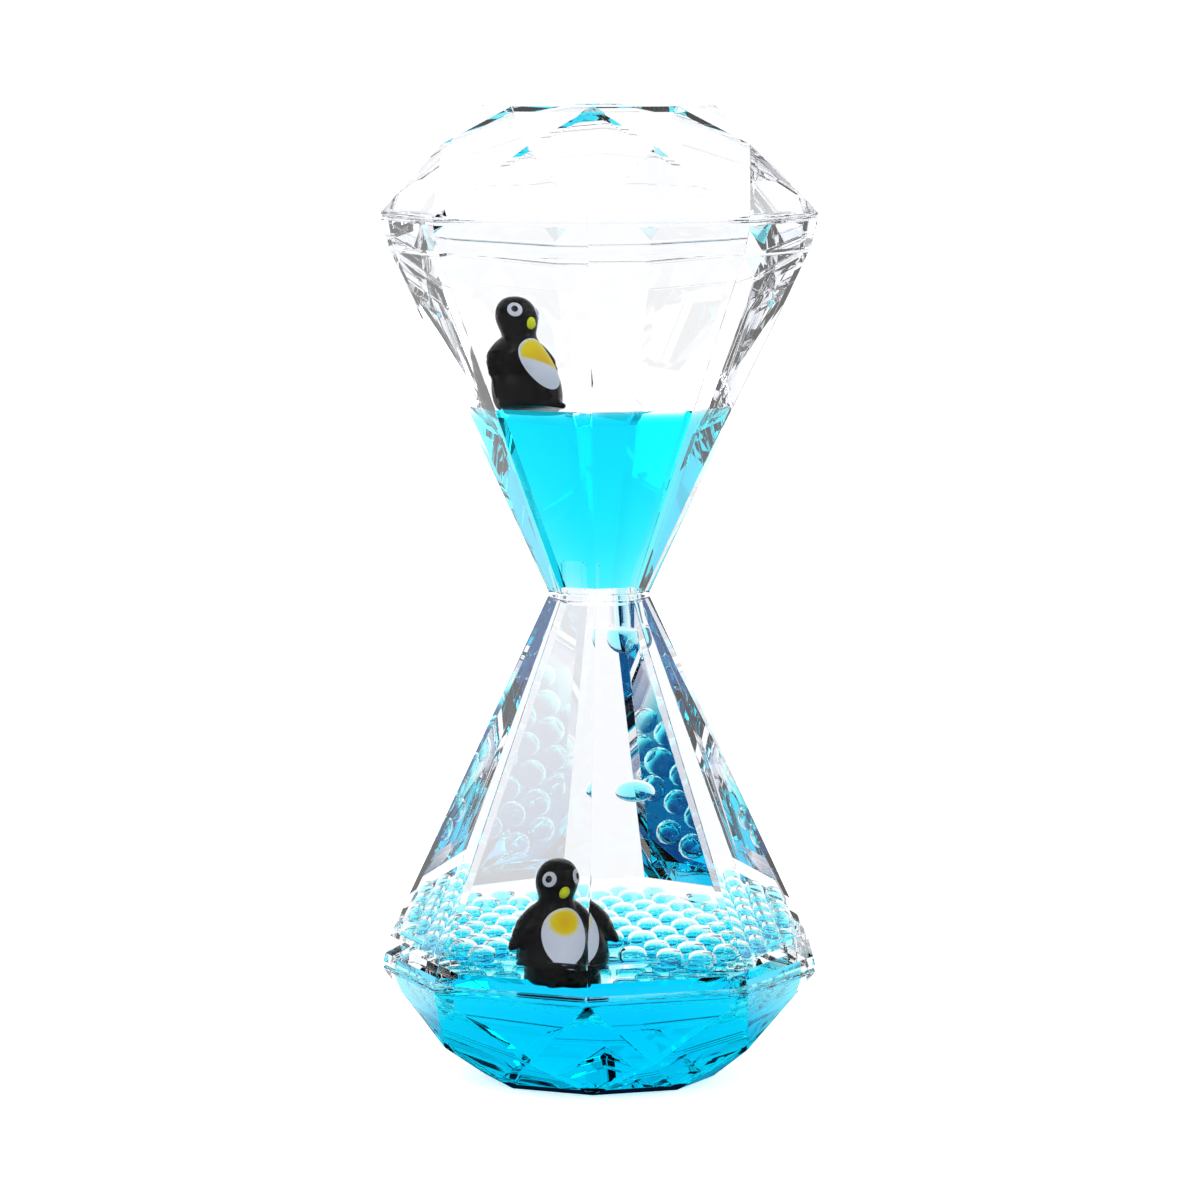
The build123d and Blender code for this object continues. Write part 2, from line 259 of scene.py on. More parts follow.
@dataclass(frozen=True)
class BellyPaint:
    """White belly paint with a soft-edged golden patch, in the figure's own front view."""

    name: str
    placing: Matrix
    patch_centre: tuple[float, float]         # mm, across and up
    patch_half_size: tuple[float, float]      # mm
    floor_height: float                       # mm, the gold stops here
    softness: float                           # share of the patch's half size
    tilt: float                               # degrees, how the gold's lower edge falls
    blur: float = 0.25                        # mm, half the width of that edge
    white: tuple[float, float, float] = (0.62, 0.68, 0.79)
    gold: tuple[float, float, float] = (0.70, 0.42, 0.0)
    lemon: tuple[float, float, float] = (0.72, 0.62, 0.02)

    def material(self) -> bpy.types.Material:
        """Build the belly paint."""
        material, tree, output = new_material(self.name)
        back = self.placing.inverted()
        place = node(tree, "TexCoord", {})
        own = node(tree, "Mapping", {
            "Vector": place.outputs["Object"], "Location": back.to_translation(),
            "Rotation": back.to_euler()})
        across, up = (v * MM for v in self.patch_centre)
        width, height = (v * MM for v in self.patch_half_size)
        centred = node(tree, "Mapping", {
            "Vector": own.outputs["Vector"], "Location": (across, 0, up),
            "Scale": (width, 1, height)}, vector_type="TEXTURE")
        flat = node(tree, "VectorMath", {0: centred.outputs["Vector"], 1: (1, 0, 1)}, operation="MULTIPLY")
        reach = node(tree, "VectorMath", {0: flat.outputs["Vector"]}, operation="LENGTH")
        inside = node(tree, "MapRange", {
            "Value": reach.outputs["Value"], "From Min": 1 + self.softness,
            "From Max": 1 - self.softness}, interpolation_type="SMOOTHSTEP")
        tilt = math.radians(self.tilt)
        rise = node(tree, "VectorMath", {
            0: own.outputs["Vector"], 1: (math.sin(tilt), 0, math.cos(tilt))}, operation="DOT_PRODUCT")
        above = node(tree, "MapRange", {
            "Value": rise.outputs["Value"], "From Min": (self.floor_height - self.blur) * MM,
            "From Max": (self.floor_height + self.blur) * MM}, interpolation_type="SMOOTHSTEP")
        both = node(tree, "Math", {0: inside.outputs["Result"], 1: above.outputs["Result"]},
                    operation="MULTIPLY")
        paint = node(tree, "BsdfPrincipled", {"Roughness": 0.35, "IOR": 1.2})
        grain = noise_bump(tree, paint, 700, 0.1, 0.00006)
        gold = node(tree, "Mix", {
            "A": (*self.gold, 1), "B": (*self.lemon, 1), "Factor": reach.outputs["Value"]},
            data_type="RGBA")
        pale = node(tree, "Mix", {
            "A": (*(0.95 * c for c in self.white), 1), "B": (*self.white, 1), "Factor": grain},
            data_type="RGBA")
        mix = node(tree, "Mix", {
            "A": pale.outputs["Result"], "B": gold.outputs["Result"], "Factor": both.outputs[0]},
            data_type="RGBA")
        tree.links.new(mix.outputs["Result"], paint.inputs["Base Color"])
        tree.links.new(paint.outputs[0], output.inputs["Surface"])
        return material


# ---------------------------------------------------------------- modelling steps


def clear_selection() -> None:
    """Deselect everything."""
    bpy.ops.object.select_all(action="DESELECT")


@contextmanager
def editing(piece: bpy.types.Object) -> Iterator[None]:
    """Edit one piece, with all of it selected, and leave edit mode afterwards."""
    take(piece)
    bpy.ops.object.mode_set(mode="EDIT")
    bpy.ops.mesh.select_all(action="SELECT")
    yield
    bpy.ops.object.mode_set(mode="OBJECT")


def take(piece: bpy.types.Object) -> None:
    """Select one piece alone and make it active."""
    clear_selection()
    piece.select_set(True)
    bpy.context.view_layer.objects.active = piece


def named(piece: bpy.types.Object, name: str) -> bpy.types.Object:
    """Name a piece and its mesh.

    Args:
        piece: the piece.
        name: its name.

    Returns:
        The same piece.
    """
    piece.name = name
    piece.data.name = name
    return piece


def recalculate(piece: bpy.types.Object) -> None:
    """Merge doubles and turn every face of a closed piece outwards."""
    with editing(piece):
        bpy.ops.mesh.remove_doubles(threshold=0.000001)
        bpy.ops.mesh.normals_make_consistent(inside=False)


def turned(name: str, profile: Profile, sides: int = SIDES, ring: bool = False) -> bpy.types.Object:
    """Pull a ring of corners along a profile about the upright axis.

    Args:
        name: the piece's name.
        profile: (radius, height) pairs in mm; a radius of 0 ends in a flat face.
        sides: how many corners the ring has.
        ring: joins the last ring to the first instead of closing both ends.

    Returns:
        The closed piece.
    """
    clear_selection()
    radius, height = profile[0]
    bpy.ops.mesh.primitive_circle_add(vertices=sides, radius=radius * MM, location=(0, 0, height * MM))
    piece = named(bpy.context.object, name)
    bpy.ops.object.transform_apply(location=True)
    bpy.ops.object.mode_set(mode="EDIT")
    bpy.ops.mesh.select_mode(type="EDGE")
    bpy.ops.mesh.select_all(action="SELECT")
    if not ring:
        bpy.ops.mesh.edge_face_add()
        bpy.ops.mesh.select_all(action="SELECT")
    for next_radius, next_height in profile[1:]:
        bpy.ops.mesh.extrude_edges_move(
            TRANSFORM_OT_translate={"value": (0, 0, (next_height - height) * MM)})
        if next_radius != radius:
            share = next_radius / radius
            bpy.ops.transform.resize(value=(share, share, 1), center_override=(0, 0, next_height * MM))
        radius, height = next_radius, next_height
    if ring:
        pick_edges(piece, lambda a, b: on_ring(a, b, profile[0]) or on_ring(a, b, profile[-1]))
        bpy.ops.mesh.bridge_edge_loops()
    else:
        bpy.ops.mesh.edge_face_add()
    bpy.ops.object.mode_set(mode="OBJECT")
    recalculate(piece)
    return piece


def on_ring(a: Vector, b: Vector, ring: tuple[float, float]) -> bool:
    """Say whether both ends of an edge lie on a ring of this (radius, height), mm."""
    return all(
        abs(math.hypot(p.x, p.y) - ring[0] * MM) < 1e-7 and abs(p.z - ring[1] * MM) < 1e-7
        for p in (a, b)
    )


def pick_edges(piece: bpy.types.Object, rule: Callable[[Vector, Vector], bool]) -> None:
    """Select, in edit mode, the edges whose two ends meet a rule.

    Args:
        piece: the piece being edited.
        rule: takes both ends of an edge.
    """
    bpy.ops.mesh.select_all(action="DESELECT")
    mesh = bmesh.from_edit_mesh(piece.data)
    for edge in mesh.edges:
        if rule(edge.verts[0].co, edge.verts[1].co):
            edge.select_set(True)
    bmesh.update_edit_mesh(piece.data)


def pick_faces(piece: bpy.types.Object, rule: Callable[[Vector, Vector], bool]) -> None:
    """Select, in edit mode, the faces whose centre and normal meet a rule.

    Args:
        piece: the piece being edited.
        rule: takes a face's centre and its normal.
    """
    bpy.ops.mesh.select_mode(type="FACE")
    bpy.ops.mesh.select_all(action="DESELECT")
    mesh = bmesh.from_edit_mesh(piece.data)
    for face in mesh.faces:
        if rule(face.calc_center_median(), face.normal):
            face.select_set(True)
    bmesh.update_edit_mesh(piece.data)


def cut_through(piece: bpy.types.Object, point: Vector, normal: Vector, discard: bool) -> None:
    """Bisect a piece, and with discard drop the part that the normal points to.

    Args:
        piece: the piece to cut.
        point: a point of the cutting plane, metres.
        normal: the plane's normal.
        discard: drop the outer part and close the cut; otherwise only score the faces.
    """
    with editing(piece):
        bpy.ops.mesh.bisect(
            plane_co=point, plane_no=normal, clear_outer=discard, use_fill=discard, threshold=1e-7)


def combine(piece: bpy.types.Object, tool: bpy.types.Object, operation: str) -> None:
    """Apply an exact boolean with a tool piece, which is then thrown away.

    Args:
        piece: the piece that stays.
        tool: the piece that cuts or is added.
        operation: UNION, DIFFERENCE or INTERSECT.
    """
    take(piece)
    step = piece.modifiers.new("combine", "BOOLEAN")
    step.operation = operation
    step.solver = "EXACT"
    step.object = tool
    bpy.ops.object.modifier_apply(modifier=step.name)
    bpy.data.objects.remove(tool, do_unlink=True)


def soften_edges(piece: bpy.types.Object, width: float, segments: int = 2, angle: float = 12) -> None:
    """Round every edge sharper than an angle.

    Args:
        piece: the piece to round.
        width: size of the rounding in mm.
        segments: how many faces each rounding has.
        angle: the smallest bend that counts as an edge, degrees.
    """
    take(piece)
    step = piece.modifiers.new("soften", "BEVEL")
    step.width = width * MM
    step.segments = segments
    step.limit_method = "ANGLE"
    step.angle_limit = math.radians(angle)
    bpy.ops.object.modifier_apply(modifier=step.name)


def smooth_sides(piece: bpy.types.Object, angle: float = 32) -> None:
    """Shade a piece smooth, except across edges sharper than an angle in degrees."""
    take(piece)
    bpy.ops.object.shade_smooth_by_angle(angle=math.radians(angle))


def twin(piece: bpy.types.Object, name: str) -> bpy.types.Object:
    """Copy a piece, mesh and all.

    Args:
        piece: the piece to copy.
        name: the copy's name.

    Returns:
        The copy.
    """
    clear_selection()
    copy = piece.copy()
    copy.data = piece.data.copy()
    bpy.context.collection.objects.link(copy)
    return named(copy, name)


def put(piece: bpy.types.Object, placing: Matrix) -> None:
    """Place a piece by a matrix and leave the place in its mesh."""
    take(piece)
    piece.matrix_world = placing
    bpy.ops.object.transform_apply(location=True, rotation=True, scale=True)


def join(pieces: list[bpy.types.Object], name: str) -> bpy.types.Object:
    """Join pieces into the first one.

    Args:
        pieces: the pieces.
        name: the joined piece's name.

    Returns:
        The joined piece.
    """
    take(pieces[0])
    for piece in pieces:
        piece.select_set(True)
    if len(pieces) > 1:
        bpy.ops.object.join()
    return named(bpy.context.object, name)


def dress(
    piece: bpy.types.Object,
    materials: list[bpy.types.Material],
    rule: Callable[[Vector, Vector], int] | None = None,
) -> None:
    """Give a piece its materials, and each face its slot.

    Args:
        piece: the piece to dress.
        materials: its material slots.
        rule: takes a face's centre and normal in metres, and says which slot it has.
    """
    piece.data.materials.clear()
    for material in materials:
        piece.data.materials.append(material)
    if rule:
        for face in piece.data.polygons:
            face.material_index = rule(face.center, face.normal)


def settle(piece: bpy.types.Object, body: str, slot: str, *nodes: str) -> None:
    """Let a finished piece stand for CAD nodes and ride on their body.

    Args:
        piece: the finished piece.
        body: the body it moves with.
        slot: the record's material slot; not used.
        nodes: the CAD nodes it stands for.
    """
    if nodes:
        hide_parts(*nodes)
    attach(piece, body)
    LOG.info("%s: %d faces, rides on %s", piece.name, len(piece.data.polygons), body)


# ---------------------------------------------------------------- the case


@dataclass
class CaseShape:
    """Sizes that the clear pieces and the liquids share, mm."""

    height: float = 150.0
    crown: float = 17.0
    girdle: float = 33.5
    table: float = 17.7
    middle: float = 25.1
    neck: float = 7.9
    rim: float = 4.0
    rim_step: float = 1.05
    band: float = 0.45
    wall: float = 1.8
    glue: float = 0.3
    glue_inset: float = 0.2
    socket: float = 5.0
    skirt: float = 4.8
    skirt_wall: float = 1.4
    skirt_clearance: float = 0.12
    plate: float = 1.0
    spigot: float = 1.2
    spigot_clearance: float = 0.12
    upper_level: float = 104.5
    lower_level: float = 18.9
    edge: float = 0.16

    @property
    def waist(self) -> float:
        """Height of the middle of the neck plate."""
        return self.height / 2

    @property
    def joint(self) -> float:
        """Height of the upper glue line's middle."""
        return self.height - self.crown

    @property
    def chamber_foot(self) -> float:
        """Height of the upper chamber's narrow end."""
        return self.waist + self.plate / 2

    @property
    def chamber_top(self) -> float:
        """Height of the upper chamber's wide end."""
        return self.joint - self.glue / 2

    @property
    def shoulder(self) -> float:
        """Height at which the rim begins."""
        return self.chamber_top - self.band - self.rim

    @property
    def slope(self) -> float:
        """How fast the funnel's corner radius grows with height."""
        return (self.girdle - self.rim_step - self.neck) / (self.shoulder - self.chamber_foot)

    @property
    def wall_inset(self) -> float:
        """The wall's thickness, measured on the corner radius."""
        return self.wall * math.hypot(1, self.slope * FLAT) / FLAT

    def bore(self, height: float) -> float:
        """Return the funnel's inner corner radius at a height of the upper chamber."""
        return self.neck - self.wall_inset + self.slope * (height - self.chamber_foot)

    @property
    def socket_radius(self) -> float:
        """Corner radius of the socket that takes the cap's skirt."""
        return self.girdle - self.rim_step - self.wall_inset

    @property
    def cap_foot(self) -> float:
        """Height of the upper cap's flange."""
        return self.joint + self.glue / 2

    @property
    def skirt_foot(self) -> float:
        """Height of the upper skirt's lower end."""
        return self.cap_foot - self.skirt

    @property
    def skirt_radius(self) -> float:
        """Outer corner radius of the skirt."""
        return self.socket_radius - self.skirt_clearance / FLAT

    @property
    def skirt_bore(self) -> float:
        """Inner corner radius of the skirt."""
        return self.skirt_radius - self.skirt_wall / FLAT

    @property
    def spigot_top(self) -> float:
        """Height of the neck plate's upper spigot face."""
        return self.chamber_foot + self.spigot

    def facets(self, inset: float) -> list[tuple[Vector, Vector]]:
        """Place the crown's 24 facet planes.

        Args:
            inset: how far inwards each plane is moved, mm.

        Returns:
            (point, outward normal) pairs, in mm.
        """
        foot = self.cap_foot + self.band
        rise = self.height - foot
        half = math.pi / SIDES
        middle_rise = rise * (self.girdle - self.middle * FLAT) / (self.girdle - self.table)
        lines = (
            (0.0, (self.girdle, 0.0), (self.table, rise)),
            (half, (self.girdle * FLAT, 0.0), (self.middle, middle_rise)),
            (half, (self.middle, middle_rise), (self.table * FLAT, rise)),
        )
        planes = []
        for turn, (low_r, low_z), (high_r, high_z) in lines:
            normal = Vector((high_z - low_z, 0, low_r - high_r)).normalized()
            point = Vector((low_r, 0, foot + low_z)) - normal * inset
            for k in range(SIDES):
                spin = Matrix.Rotation(turn + k * 2 * half, 3, "Z")
                planes.append((spin @ point, spin @ normal))
        return planes

    def gem(self, name: str, foot: float, radius: float, inset: float) -> bpy.types.Object:
        """Cut an octagonal block to the crown's facets.

        Args:
            name: the piece's name.
            foot: height of the block's lower face, mm.
            radius: corner radius of the block, mm.
            inset: how far inside the outer facets it stays, mm.

        Returns:
            The closed faceted block.
        """
        block = turned(name, [(radius, foot), (radius, self.height - inset)])
        for point, normal in self.facets(inset):
            cut_through(block, point * MM, normal, discard=True)
        recalculate(block)
        return block

    def turn_over(self, piece: bpy.types.Object) -> None:
        """Mirror a piece from the upper half into the lower half."""
        put(piece, Matrix.Translation((0, 0, self.height * MM)) @ Matrix.Diagonal((1, 1, -1, 1)))
        recalculate(piece)


class Half(Enum):
    """The two ends of the timer."""

    UPPER = "upper"
    LOWER = "lower"


@dataclass
class FunnelChamber:
    """A clear octagonal funnel with a socket at its wide end."""

    shape: CaseShape
    half: Half
    plastic: ClearPlastic

    def build(self) -> None:
        """Model the funnel, score it at the water's level and dress it."""
        s = self.shape
        socket_floor = s.joint - s.socket
        profile = [
            (s.neck, s.chamber_foot),
            (s.girdle - s.rim_step, s.shoulder),
            (s.girdle, s.chamber_top - s.band),
            (s.girdle, s.chamber_top),
            (s.socket_radius, s.chamber_top),
            (s.socket_radius, socket_floor),
            (s.bore(socket_floor), socket_floor),
            (s.bore(s.chamber_foot), s.chamber_foot),
        ]
        funnel = turned(f"{self.half.value}_funnel", profile, ring=True)
        soften_edges(funnel, s.edge)
        level = s.upper_level
        if self.half is Half.LOWER:
            s.turn_over(funnel)
            level = s.lower_level
        cut_through(funnel, Vector((0, 0, level * MM)), UP, discard=False)
        dress(funnel, self.plastic.slots(), self.slot_of)
        settle(funnel, "case", "clear_plastic", f"{self.half.value}_chamber")

    def slot_of(self, centre: Vector, normal: Vector) -> int:
        """Say what a face of the funnel touches.

        Args:
            centre: the face's centre, metres.
            normal: its outward normal.

        Returns:
            The slot's number, in the order of Contact.
        """
        s = self.shape
        height = centre.z / MM
        folded = height if self.half is Half.UPPER else s.height - height
        outward = normal.x * centre.x + normal.y * centre.y
        radius = math.hypot(centre.x, centre.y) / MM
        middle_of_wall = (s.neck - s.wall_inset / 2 + s.slope * (folded - s.chamber_foot)) * FLAT
        if folded < s.chamber_foot + 0.2 and abs(normal.z) > 0.9:
            return Contact.OIL.slot
        if folded > s.chamber_top - 0.05:
            return Contact.OIL.slot
        if outward > 0 and radius > middle_of_wall and (folded < s.shoulder - 1 or radius > s.socket_radius):
            return Contact.AIR.slot
        wet = height < (s.upper_level if self.half is Half.UPPER else s.lower_level)
        if folded > s.joint - s.socket:
            wet = False
        return (Contact.WATER if wet else Contact.OIL).slot


@dataclass
class CrownCap:
    """A hollow cap cut like a gem, with a skirt that fits the chamber's socket."""

    shape: CaseShape
    half: Half
    plastic: ClearPlastic
    plug: "FillPlug"

    def build(self) -> None:
        """Model the cap, bore it for the plug where it has one, and dress it."""
        s = self.shape
        outside = s.gem(f"{self.half.value}_crown", s.cap_foot, s.girdle, 0)
        inside = s.gem("cap_hollow", s.skirt_foot - 1, s.skirt_bore, s.wall)
        skirt = turned("cap_skirt", [(s.skirt_radius, s.skirt_foot), (s.skirt_radius, s.cap_foot + 1)])
        combine(outside, skirt, "UNION")
        combine(outside, inside, "DIFFERENCE")
        if self.half is Half.UPPER:
            self.plug.bore(outside)
        else:
            s.turn_over(outside)
        recalculate(outside)
        soften_edges(outside, s.edge)
        if self.half is Half.LOWER:
            cut_through(outside, Vector((0, 0, s.lower_level * MM)), UP, discard=False)
        dress(outside, self.plastic.slots(), self.slot_of)
        settle(outside, "case", "clear_plastic", f"{self.half.value}_cap")

    def slot_of(self, centre: Vector, normal: Vector) -> int:
        """Say what a face of the cap touches.

        Args:
            centre: the face's centre, metres.
            normal: its outward normal.

        Returns:
            The slot's number, in the order of Contact.
        """
        s = self.shape
        height = centre.z / MM
        folded = height if self.half is Half.UPPER else s.height - height
        up = normal.z if self.half is Half.UPPER else -normal.z
        outward = normal.x * centre.x + normal.y * centre.y > 0
        if folded > s.cap_foot + 0.1 and (up > 0.05 or (outward and up > -0.05)):
            return Contact.AIR.slot
        if folded > s.cap_foot - 0.05 and outward and up > -0.9:
            return Contact.AIR.slot
        inner = not outward or up < -0.3
        wet = self.half is Half.LOWER and height < s.lower_level and inner and folded > s.skirt_foot + 0.3
        if folded < s.cap_foot + 0.05 and outward:
            wet = False
        return (Contact.WATER if wet else Contact.OIL).slot


@dataclass
class GlueLine:
    """The clear band of cured glue between a cap and its chamber."""

    shape: CaseShape
    half: Half
    plastic: ClearPlastic

    def build(self) -> None:
        """Model the band with its rounded squeeze-out edge."""
        s = self.shape
        outer = s.girdle - s.glue_inset / FLAT
        low, high = s.chamber_top + CLEAR, s.cap_foot - CLEAR
        bulge = 0.08
        band = turned(f"{self.half.value}_glue_band", [
            (outer - bulge, low), (outer, low + bulge), (outer, high - bulge), (outer - bulge, high),
            (s.socket_radius, high), (s.socket_radius, low),
        ], ring=True)
        if self.half is Half.LOWER:
            s.turn_over(band)
        air, oil = Contact.AIR.slot, Contact.OIL.slot
        dress(band, self.plastic.slots(),
              lambda c, n: air if n.x * c.x + n.y * c.y > 0 and abs(n.z) < 0.9 else oil)
        settle(band, "case", "glue", f"{self.half.value}_glue_line")


@dataclass
class FillPlug:
    """The round screwed plug that closes the filling hole, on a rubber seal."""

    shape: CaseShape
    plastic: ClearPlastic
    rubber: MouldedPaint
    stem: float = 3.0
    head: float = 4.2
    head_height: float = 0.8
    length: float = 2.6
    clearance: float = 0.05
    sink: float = 0.1
    edge: float = 0.2
    boss_height: float = 1.2
    boss_wall: float = 1.3
    seal: float = 0.4
    slot_length: float = 4.4
    slot_width: float = 0.9
    slot_depth: float = 0.35
    corners: int = 48

    @property
    def seat(self) -> float:
        """Height of the underside of the plug's head."""
        return self.shape.height - self.sink - self.head_height

    def bore(self, cap: bpy.types.Object) -> None:
        """Give the upper cap the plug's boss and its stepped hole."""
        s = self.shape
        ceiling = s.height - s.wall
        boss = turned("plug_boss", [(self.head + self.boss_wall, ceiling - self.boss_height),
                                    (self.head + self.boss_wall, ceiling + 0.5)], self.corners)
        combine(cap, boss, "UNION")
        narrow, wide = self.stem + self.clearance, self.head + self.clearance
        hole = turned("plug_hole", [
            (narrow, ceiling - self.boss_height - 1), (narrow, self.seat - self.seal),
            (wide, self.seat - self.seal), (wide, s.height + 1)], self.corners)
        combine(cap, hole, "DIFFERENCE")

    def build(self) -> None:
        """Model the plug with its driving slot, and the seal under its head."""
        top = self.shape.height - self.sink
        plug = turned("screw_plug", [
            (self.stem - self.edge, top - self.length), (self.stem, top - self.length + self.edge),
            (self.stem, self.seat), (self.head, self.seat), (self.head, top - self.edge),
            (self.head - self.edge, top)], self.corners)
        clear_selection()
        bpy.ops.mesh.primitive_cube_add(size=MM, location=(0, 0, top * MM))
        slot = named(bpy.context.object, "driving_slot")
        slot.scale = (self.slot_length, self.slot_width, self.slot_depth * 2)
        put(slot, slot.matrix_basis.copy())
        with editing(slot):
            pick_edges(slot, lambda a, b: abs(a.z - b.z) > 1e-5)
            bpy.ops.mesh.bevel(offset=0.4 * self.slot_width * MM, segments=4)
        combine(plug, slot, "DIFFERENCE")
        smooth_sides(plug)
        air, oil = Contact.AIR.slot, Contact.OIL.slot
        dress(plug, self.plastic.slots(), lambda c, n: air if c.z > (self.seat + 0.1) * MM else oil)
        settle(plug, "case", "clear_plug", "fill_plug")
        seal = turned("seal_ring", [
            (self.head - 0.05, self.seat - self.seal + CLEAR), (self.head, self.seat - self.seal / 2),
            (self.head - 0.05, self.seat - CLEAR), (self.stem + CLEAR, self.seat - CLEAR),
            (self.stem + CLEAR, self.seat - self.seal + CLEAR)], self.corners, ring=True)
        smooth_sides(seal)
        dress(seal, [self.rubber.material()])
        settle(seal, "case", "seal_rubber", "plug_seal")


@dataclass
class NeckFittings:
    """The neck plate with its rising and dripping tubes."""

    shape: CaseShape
    plastic: ClearPlastic
    offset: float = 2.85
    radius: float = 2.1
    bore: float = 1.25
    seat: float = 1.75
    length: float = 4.5
    taper: float = 0.45
    corners: int = 40

    @property
    def tip(self) -> float:
        """Height of the rise tube's tip."""
        return self.shape.spigot_top + self.length

    def build(self) -> None:
        """Model the plate and both tubes."""
        self.build_plate()
        self.build_tube(Half.UPPER)
        self.build_tube(Half.LOWER)

    def build_plate(self) -> None:
        """Model the neck plate with a spigot on each side and two holes."""
        s = self.shape
        low = s.height - s.chamber_foot
        spigot = s.bore(s.chamber_foot) - s.spigot_clearance / FLAT
        foot, top = s.height - s.spigot_top, s.spigot_top
        plate = turned("waist_plate", [
            (spigot, foot), (spigot, low), (s.neck, low + CLEAR), (s.neck, s.chamber_foot - CLEAR),
            (spigot, s.chamber_foot), (spigot, top)])
        for side in (1, -1):
            hole = turned("plate_hole", [(self.seat + CLEAR, foot - 1), (self.seat + CLEAR, top + 1)],
                          self.corners)
            put(hole, Matrix.Translation((side * self.offset * MM, 0, 0)))
            combine(plate, hole, "DIFFERENCE")
        soften_edges(plate, 0.08, segments=1, angle=40)
        dress(plate, self.plastic.slots(), self.plate_slot)
        settle(plate, "case", "clear_plate", "neck_plate")

    def plate_slot(self, centre: Vector, normal: Vector) -> int:
        """Say what a face of the plate touches.

        Args:
            centre: the face's centre, metres.
            normal: its outward normal.

        Returns:
            The slot's number, in the order of Contact.
        """
        s = self.shape
        contact = Contact.OIL
        if centre.z > (s.spigot_top - 0.02) * MM:
            contact = Contact.WATER
        if abs(normal.z) < 0.5 and math.hypot(centre.x, centre.y) > (s.neck * FLAT - 0.1) * MM:
            contact = Contact.AIR
        return contact.slot

    def build_tube(self, half: Half) -> None:
        """Model one tube: the upper one carries oil up, the lower one drips water.

        Args:
            half: the chamber that the tube reaches into.
        """
        s = self.shape
        foot = s.height - s.spigot_top
        tube = turned("riser" if half is Half.UPPER else "dripper", [
            (self.seat, foot), (self.seat, s.spigot_top + CLEAR), (self.radius, s.spigot_top + CLEAR),
            (self.radius, self.tip - self.taper), (self.radius - self.taper, self.tip),
            (self.bore, self.tip), (self.bore, foot)], self.corners, ring=True)
        if half is Half.UPPER:
            put(tube, Matrix.Translation((-self.offset * MM, 0, 0)))
        else:
            s.turn_over(tube)
            put(tube, Matrix.Translation((self.offset * MM, 0, 0)))
        smooth_sides(tube)
        side = -1 if half is Half.UPPER else 1
        oil, water = Contact.OIL.slot, Contact.WATER.slot
        outside, inside = (water, oil) if half is Half.UPPER else (oil, water)

        def slot_of(centre: Vector, normal: Vector) -> int:
            """Say whether a face is inside or outside the tube."""
            reach = math.hypot(centre.x - side * self.offset * MM, centre.y)
            return inside if reach < (self.bore + 0.05) * MM else outside

        dress(tube, self.plastic.slots(), slot_of)
        settle(tube, "case", "clear_tube", "rise_tube" if half is Half.UPPER else "drip_tube")


# ---------------------------------------------------------------- the liquids


@dataclass
class UpperWater:
    """The blue water left in the upper funnel, with its thread down the drip tube."""

    shape: CaseShape
    fittings: NeckFittings
    gap: float = 0.05

    def build(self) -> None:
        """Model the water, the pocket round the rise tube and the thread in the drip tube."""
        s, t = self.shape, self.fittings
        foot = s.spigot_top + self.gap
        water = turned("upper_pool", [
            (s.bore(foot) - 2 * self.gap, foot),
            (s.bore(s.upper_level) - 2 * self.gap, s.upper_level)])
        pocket = turned("rise_pocket", [(t.radius + self.gap, foot - 1),
                                        (t.radius + self.gap, t.tip + self.gap)], t.corners)
        put(pocket, Matrix.Translation((-t.offset * MM, 0, 0)))
        combine(water, pocket, "DIFFERENCE")
        thread = turned("drip_thread", [(t.bore - self.gap, s.height - t.tip + CLEAR),
                                        (t.bore - self.gap, foot + 1)], t.corners)
        put(thread, Matrix.Translation((t.offset * MM, 0, 0)))
        combine(water, thread, "UNION")
        smooth_sides(water)
        dress(water, [DyedWater("blue_water_upper", s.upper_level).material()])
        settle(water, "case", "blue_water", "upper_water")


@dataclass
class LowerWater:
    """The blue water that has gathered in the lower cap."""

    shape: CaseShape
    gap: float = 0.05

    def build(self) -> None:
        """Model the water inside the lower cap up to its level."""
        s = self.shape
        water = s.gem("lower_pool", s.skirt_foot, s.skirt_bore - self.gap / FLAT, s.wall + self.gap)
        s.turn_over(water)
        cut_through(water, Vector((0, 0, s.lower_level * MM)), UP, discard=True)
        recalculate(water)
        dress(water, [DyedWater("blue_water_lower", s.lower_level).material()])
        settle(water, "case", "blue_water", "lower_water")


